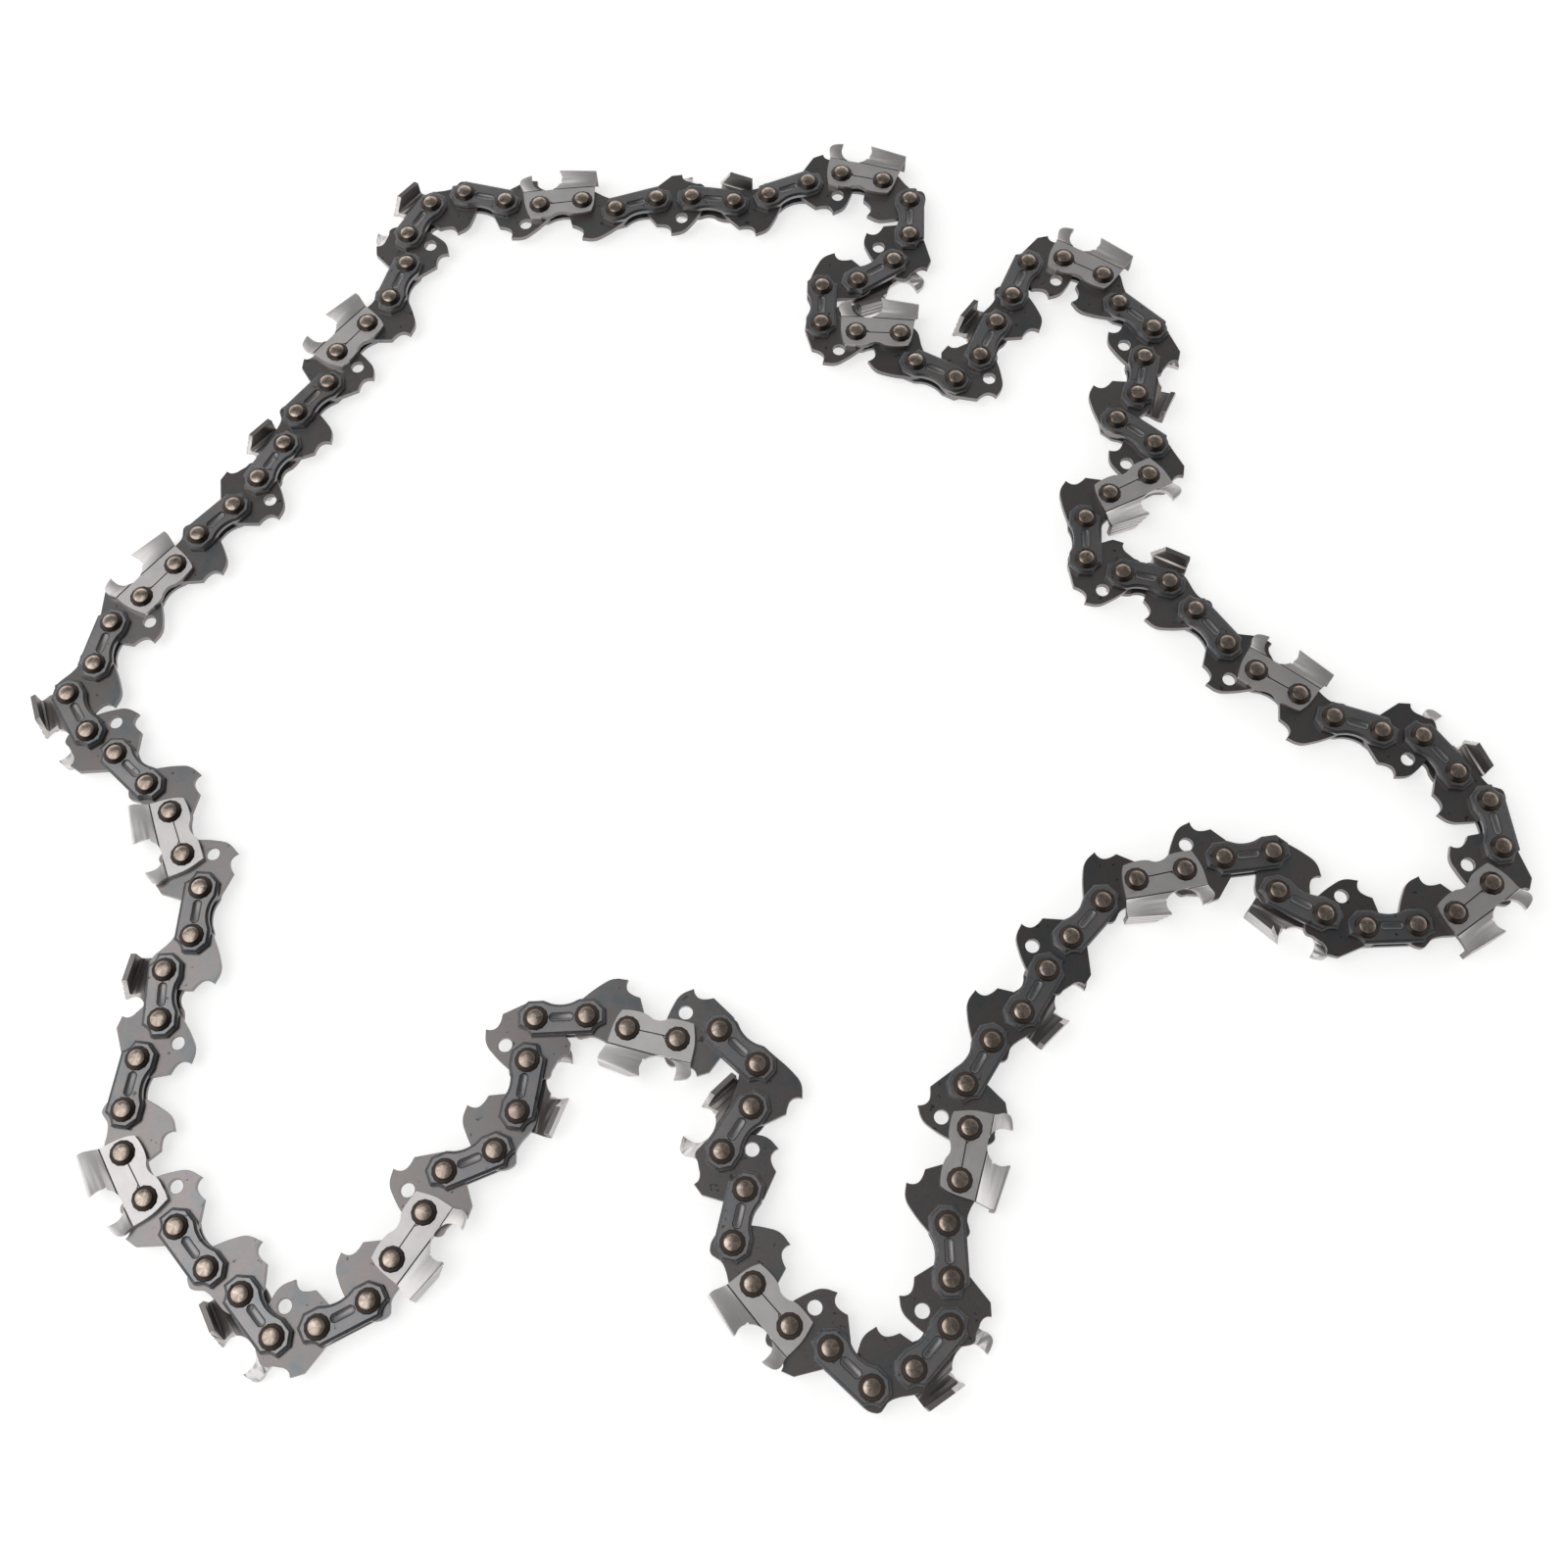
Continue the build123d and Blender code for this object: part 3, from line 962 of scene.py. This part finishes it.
# Real tool rings are about 0.05 mm apart, which is too fine to show, so they are drawn coarser.
RING_MM = 0.12
# Painted highlights: lighter and darker sectors of the rivet's top
SECTOR_HIGHLIGHTS = ((0.32, "#857a74"), (0.5, "#a89c94"), (0.68, "#d0c1b4"))
STRAW = "#a6917c"
# Painted shade on the side of the head
HEAD_SIDE_SHADE = "#36302d"


def heat_tinted_steel():
    """Rivet steel with a spun, heat-tinted top that carries painted highlights, and a side darkened
    by painted shade.
    """
    # To the eye the top is a small straw-coloured mirror, whose lighter and darker sectors are
    # painted highlights, in a ring painted dark as painted shade.
    material, tree, shader, place, batch = metal("heat_tinted_rivet_steel")
    own = add(tree, "ShaderNodeAttribute", attribute_name="own_place").outputs["Vector"]
    flat = add(
        tree, "ShaderNodeVectorMath", operation="MULTIPLY", item_0=own, item_1=(1.0, 1.0, 0.0)
    )
    radius = add(tree, "ShaderNodeVectorMath", operation="LENGTH", item_0=flat)
    on_top = add(
        tree, "ShaderNodeMapRange", Value=radius,
        From_Min=HEAD_RADIUS * (TOP_SHARE + TOP_BLUR),
        From_Max=HEAD_RADIUS * (TOP_SHARE - TOP_BLUR),
    )
    outwards = add(tree, "ShaderNodeVectorMath", operation="NORMALIZE", item_0=flat)
    shift = add(tree, "ShaderNodeVectorMath", operation="SCALE", item_0=LINK_SHIFT, Scale=batch)
    turned = add(tree, "ShaderNodeVectorMath", operation="ADD", item_0=outwards, item_1=shift)
    ring_place = add(tree, "ShaderNodeCombineXYZ", X=radius, Y=batch)
    sectors, stain, rings = (
        add(tree, "ShaderNodeTexNoise", Vector=at, Scale=1 / size, Detail=fine, Roughness=mix)
        for at, size, fine, mix in (
            (turned, SECTOR_SHARE, 2.0, 0.6),
            (place, STAIN_MM, 3.0, 0.55),
            (ring_place, RING_MM, 3.0, 0.55),
        )
    )
    sector_light = add(tree, "ShaderNodeValToRGB", stops=SECTOR_HIGHLIGHTS, Fac=sectors)
    share = add(tree, "ShaderNodeMapRange", Value=stain, To_Max=0.5)
    straw = add(
        tree, "ShaderNodeMix", data_type="RGBA", item_0=share, item_6=sector_light, item_7=colour(STRAW)
    )
    # The side gets painted shade, and the top gets the straw colour with its painted highlights.
    tint = add(
        tree, "ShaderNodeMix", data_type="RGBA",
        item_0=on_top, item_6=colour(HEAD_SIDE_SHADE), item_7=straw,
    )
    polish = add(tree, "ShaderNodeMapRange", Value=stain, To_Min=0.2, To_Max=0.36)
    bump = add(tree, "ShaderNodeBump", Strength=0.25, Distance=BUMP_DEPTH, Height=rings)
    finish_metal(tree, shader, tint.outputs[2], polish.outputs["Result"], bump.outputs["Normal"])
    return material


rivet_steel = heat_tinted_steel()
print("metal", rivet_steel.name)

# %% [markdown]
# ## Rivets
# A rivet's head is spun down by a rotating tool, which leaves a thin collar, a steep side and a low
# dome. It follows a rule, so a geometry tree makes it: one cone for each step of the profile,
# joined and mirrored for the head on the other side of the chain. The head's sizes are the tree's
# own inputs.

# %% Build the tree that spins rivets
# Steps of a head from its rim to its middle, in shares of its radius and height
HEAD_PROFILE = ((1.0, 0.0), (0.9, 0.16), (0.74, 0.62), (TOP_SHARE, 0.8), (0.36, 0.95), (0.0, 1.0))


def new_tree(name, sockets):
    """A geometry tree with its named inputs and output, and the keys of the inputs."""
    tree = bpy.data.node_groups.new(name, "GeometryNodeTree")
    keys = {
        label: tree.interface.new_socket(label, in_out=direction, socket_type=kind).identifier
        for label, direction, kind in sockets
    }
    return tree, keys


def rivet_tree():
    """Both heads of a rivet as cones, from the collar to the middle of the dome."""
    tree, keys = new_tree(
        "spin_rivet_heads",
        (
            ("Head Radius", "INPUT", "NodeSocketFloat"),
            ("Head Height", "INPUT", "NodeSocketFloat"),
            ("Upper Face", "INPUT", "NodeSocketFloat"),
            ("Lower Face", "INPUT", "NodeSocketFloat"),
            ("Sides", "INPUT", "NodeSocketInt"),
            ("Finish", "INPUT", "NodeSocketMaterial"),
            ("Rivet", "OUTPUT", "NodeSocketGeometry"),
        ),
    )
    given = add(tree, "NodeGroupInput").outputs
    head = add(tree, "GeometryNodeJoinGeometry")
    base = add(
        tree, "GeometryNodeMeshCircle", fill_type="NGON",
        Vertices=given["Sides"], Radius=given["Head Radius"],
    )
    tree.links.new(base.outputs[0], head.inputs[0])
    for (near, low), (far, high) in zip(HEAD_PROFILE, HEAD_PROFILE[1:]):
        bottom, top, foot, depth = (
            add(tree, "ShaderNodeMath", operation="MULTIPLY", item_0=given[size], item_1=share)
            for size, share in (
                ("Head Radius", near), ("Head Radius", far),
                ("Head Height", low), ("Head Height", high - low),
            )
        )
        cone = add(
            tree, "GeometryNodeMeshCone", fill_type="NONE",
            Vertices=given["Sides"], Radius_Bottom=bottom, Radius_Top=top, Depth=depth,
        )
        lift = add(tree, "ShaderNodeCombineXYZ", Z=foot)
        step = add(tree, "GeometryNodeTransform", Geometry=cone, Translation=lift)
        tree.links.new(step.outputs[0], head.inputs[0])
    rivet = add(tree, "GeometryNodeJoinGeometry")
    for face, side in (("Upper Face", 1), ("Lower Face", -1)):
        lift = add(tree, "ShaderNodeCombineXYZ", Z=given[face])
        placed = add(
            tree, "GeometryNodeTransform", Geometry=head, Translation=lift, Scale=(1, 1, side)
        )
        tree.links.new(placed.outputs[0], rivet.inputs[0])
    plain = add(tree, "GeometryNodeRealizeInstances", Geometry=rivet)
    dressed = add(tree, "GeometryNodeSetMaterial", Geometry=plain, Material=given["Finish"])
    add(tree, "NodeGroupOutput", Rivet=dressed)
    return tree, keys


spin_tree, spin_keys = rivet_tree()
print("nodes that spin a rivet", len(spin_tree.nodes))

# %% [markdown]
# ### One rivet
# The tree is run once on an empty mesh. Its result is baked to a plain mesh, which is kept as a
# shape to copy like the plates.

# %% Spin the rivet
HEAD_SIDES = 12


def bake_tree(mesh, tree, keys, values):
    """The mesh that a geometry tree makes of another one, with its inputs set."""
    source = put(mesh.name, mesh)
    maker = source.modifiers.new("maker", "NODES")
    maker.node_group = tree
    for name, value in values.items():
        maker[keys[name]] = value
    return bake(source)


rivet_sizes = {
    "Head Radius": HEAD_RADIUS,
    "Head Height": HEAD_TOP - UPPER_FACE,
    "Upper Face": UPPER_FACE,
    "Lower Face": LOWER_FACE,
    "Sides": HEAD_SIDES,
    "Finish": rivet_steel,
}
rivet_mesh = bake_tree(bpy.data.meshes.new("a_rivet"), spin_tree, spin_keys, rivet_sizes)
tidy(rivet_mesh)
rivet_shapes = bpy.data.collections.new("rivet_shapes")
finish_shape(rivet_mesh, rivet_shapes)

# %% [markdown]
# ## Laying the links along the chain
# One geometry tree lays every kind of plate. It takes points that stand at the front rivets, picks
# the shape that each point names, turns it to the link's heading, gives each copy a random number
# from a fixed seed, and ends in a plain mesh with its material.

# %% Build the tree that lays copies


def laying_tree():
    """Points with a heading and a variant become turned copies of a collection's shapes."""
    tree, keys = new_tree(
        "lay_plates_on_rivets",
        (
            ("Points", "INPUT", "NodeSocketGeometry"),
            ("Shapes", "INPUT", "NodeSocketCollection"),
            ("Finish", "INPUT", "NodeSocketMaterial"),
            ("Seed", "INPUT", "NodeSocketInt"),
            ("Plates", "OUTPUT", "NodeSocketGeometry"),
        ),
    )
    given = add(tree, "NodeGroupInput").outputs
    heading = add(tree, "GeometryNodeInputNamedAttribute", data_type="FLOAT", Name="heading")
    variant = add(tree, "GeometryNodeInputNamedAttribute", data_type="INT", Name="variant")
    turn = add(tree, "FunctionNodeAxisAngleToRotation", Axis=(0, 0, 1), Angle=heading)
    kinds = add(
        tree, "GeometryNodeCollectionInfo",
        Collection=given["Shapes"], Separate_Children=True, Reset_Children=True,
    )
    copies = add(
        tree, "GeometryNodeInstanceOnPoints", Points=given["Points"], Instance=kinds,
        Pick_Instance=True, Instance_Index=variant, Rotation=turn,
    )
    number = add(tree, "FunctionNodeRandomValue", data_type="FLOAT", Seed=given["Seed"])
    noted = add(
        tree, "GeometryNodeStoreNamedAttribute", data_type="FLOAT", domain="INSTANCE",
        Geometry=copies, Name="batch", Value=number,
    )
    plain = add(tree, "GeometryNodeRealizeInstances", Geometry=noted)
    dressed = add(tree, "GeometryNodeSetMaterial", Geometry=plain, Material=given["Finish"])
    add(tree, "NodeGroupOutput", Plates=dressed)
    return tree, keys


lay_tree, lay_keys = laying_tree()
print("nodes that lay copies", len(lay_tree.nodes))

# %% [markdown]
# ## The plates of each run
# The loop moves in rigid runs of a few rows each. A row is an upper cutter, a plain link, a pair of
# straps, a guard link, a lower cutter, and the same three again. Each run gets one mesh of each
# kind, which rides on the run's body and stands for its CAD nodes. Rivets are turned at random,
# because a spun head has no front.

# %% Lay every run
UPPER, LOWER = 0, 1
PLAIN, GUARD = 0, 1
CUTTER_PLACES = ((0, UPPER), (4, LOWER))
LINK_PLACES = ((1, PLAIN), (3, GUARD), (5, PLAIN), (7, GUARD))
STRAP_PLACES = ((0, LOWER), (2, UPPER), (2, LOWER), (4, UPPER), (6, UPPER), (6, LOWER))
KINDS = {
    "cutters": (CUTTER_PLACES, cutter_shapes, cutter_steel, "cutter_steel"),
    "drive_links": (LINK_PLACES, drive_shapes, link_steel, "drive_link_steel"),
    "tie_straps": (STRAP_PLACES, strap_shapes, strap_steel, "strap_steel"),
}
SEED = 7


def lay(name, points, collection, material, seed):
    """A baked mesh of copies. Points are (rivet in mm, heading, variant)."""
    places, turns, variants = zip(*points)
    mesh = bpy.data.meshes.new(name)
    mesh.from_pydata([(x * MM, y * MM, 0) for x, y in places], [], [])
    mesh.attributes.new("heading", "FLOAT", "POINT").data.foreach_set("value", turns)
    mesh.attributes.new("variant", "INT", "POINT").data.foreach_set("value", variants)
    values = {"Shapes": collection, "Finish": material, "Seed": seed}
    return put(name, bake_tree(mesh, lay_tree, lay_keys, values))


chance = np.random.default_rng(SEED)
bodies = frame["record"]["behaviour"]["bodies"]
pieces = []
for number, (body, nodes) in enumerate(bodies.items()):
    rows = sorted(int(node[-2:]) - 1 for node in nodes if node.startswith("cutters_"))
    for kind, (places, collection, material, slot) in KINDS.items():
        points = [
            (rivets[row, link], headings[row, link], variant)
            for row in rows
            for link, variant in places
        ]
        piece = lay(f"{kind}_{body}", points, collection, material, SEED + number)
        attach(piece, body)
        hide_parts(*(node for node in nodes if node.startswith(kind)))
        pieces.append(piece)
    points = [
        (place, turn, 0)
        for row in rows
        for place, turn in zip(rivets[row], chance.uniform(0, 2 * math.pi, LINKS_IN_ROW))
    ]
    piece = lay(f"rivets_{body}", points, rivet_shapes, rivet_steel, SEED + number)
    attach(piece, body)
    pieces.append(piece)
triangles = sum(len(face.vertices) - 2 for piece in pieces for face in piece.data.polygons)
print("pieces", len(pieces), "triangles", triangles)

# %% [markdown]
# ## Studio
# The photograph was taken from above on white. A pale floor carries the chain in a light tent,
# whose walls are brighter on the left and whose roof, over the camera, is dim. One large softbox
# hangs on the left. The near left part of the chain mirrors it, while the rest mirrors the dim roof
# and stays dark.

# %% Floor
FLOOR_SIZE = 6.0
FLOOR_COLOUR = "#cfcfce"
FLOOR_ROUGHNESS = 0.9
FLOOR_GLOW = 0.6
WHITE = (1, 1, 1, 1)

half = FLOOR_SIZE / 2
floor_mesh = bpy.data.meshes.new("floor")
floor_mesh.from_pydata(
    [(-half, -half, 0), (half, -half, 0), (half, half, 0), (-half, half, 0)], [], [(0, 1, 2, 3)]
)
# To the eye the paper is even and without shine. Its glow keeps the shadows pale.
paper = bpy.data.materials.new("matt_white_paper")
paper.use_nodes = True
for name, value in {
    "Base Color": colour(FLOOR_COLOUR),
    "Roughness": FLOOR_ROUGHNESS,
    "Emission Color": WHITE,
    "Emission Strength": FLOOR_GLOW,
}.items():
    paper.node_tree.nodes["Principled BSDF"].inputs[name].default_value = value
floor_mesh.materials.append(paper)
put("floor", floor_mesh)
print("floor", FLOOR_SIZE, "m wide")

# %% [markdown]
# ### Lights
# Polished metal shows what stands round it, so the tent is made first, as the colour of the world
# in each direction. The softbox is an area light, given by the brightness of its face, so that its
# mirror image stays the same when its size changes.

# %% Light tent and softbox
WALL_LIGHT = 1.7
ROOF_LIGHT = 0.16
LEFT_SHARE, RIGHT_SHARE = 1.05, 0.6
# Heights on a ball of radius 1, between which the walls fade to the roof
SHOULDER = (0.45, 0.65)
SOFTBOX_PLACE = (-0.7, -0.14, 0.92)
SOFTBOX_SIZE = 1.0
SOFTBOX_LIGHT = 1.6


def light_tent():
    """Walls that are bright on the left, up to the tent's shoulder, and a dim roof."""
    world = bpy.data.worlds.new("light_tent")
    world.use_nodes = True
    tree = world.node_tree
    direction = add(tree, "ShaderNodeTexCoord").outputs["Generated"]
    parts = add(tree, "ShaderNodeSeparateXYZ", Vector=direction).outputs
    wall = add(
        tree, "ShaderNodeMapRange", Value=parts["X"], From_Min=-1.0, From_Max=1.0,
        To_Min=WALL_LIGHT * LEFT_SHARE, To_Max=WALL_LIGHT * RIGHT_SHARE,
    )
    shoulder = add(
        tree, "ShaderNodeMapRange", Value=parts["Z"],
        From_Min=SHOULDER[0], From_Max=SHOULDER[1], To_Min=wall, To_Max=ROOF_LIGHT,
    )
    background = tree.nodes["Background"]
    background.inputs["Color"].default_value = WHITE
    tree.links.new(shoulder.outputs["Result"], background.inputs["Strength"])
    bpy.context.scene.world = world


light_tent()
softbox = bpy.data.lights.new("left_softbox", "AREA")
softbox.shape = "SQUARE"
softbox.size = SOFTBOX_SIZE
softbox.energy = SOFTBOX_LIGHT * math.pi * SOFTBOX_SIZE**2
put("left_softbox", softbox).location = SOFTBOX_PLACE
print("softbox", round(softbox.energy, 2), "W")

# %% [markdown]
# ## Camera
# The camera was solved from the photograph: the rivets lie in one plane, and every link has to come
# out at its own length. That gives the lens, the height, the distance and a slight roll.

# %% Camera of the photograph
VIEW_CENTRE = Vector((4.24, -21.8, HEAD_TOP)) * MM
VIEW_DISTANCE = 369.7 * MM
VIEW_ELEVATION = math.radians(68.51)
VIEW_TURN = math.radians(-0.31)
VIEW_ROLL = math.radians(-1.83)
SENSOR_MM = 36.0
IMAGE_PIXELS = 1600
FOCAL_PIXELS = 1782
NEAREST_SEEN = 0.01

camera_data = bpy.data.cameras.new("camera")
camera_data.sensor_width = SENSOR_MM
camera_data.lens = SENSOR_MM * FOCAL_PIXELS / IMAGE_PIXELS
camera_data.clip_start = NEAREST_SEEN
camera = put("camera", camera_data)
tilt = (
    Matrix.Rotation(VIEW_TURN, 4, "Z")
    @ Matrix.Rotation(math.pi / 2 - VIEW_ELEVATION, 4, "X")
    @ Matrix.Rotation(VIEW_ROLL, 4, "Z")
)
backwards = Matrix.Translation((0, 0, VIEW_DISTANCE))
camera.matrix_world = Matrix.Translation(VIEW_CENTRE) @ tilt @ backwards
bpy.context.scene.camera = camera
bpy.context.scene.view_settings.view_transform = "Standard"
print("lens", round(camera_data.lens, 2), "mm")

# %% [markdown]
# ## Finish
# The view layer is updated once more. The dressed chain has to stay as large as the imported
# model.

# %% Finish
bpy.context.view_layer.update()
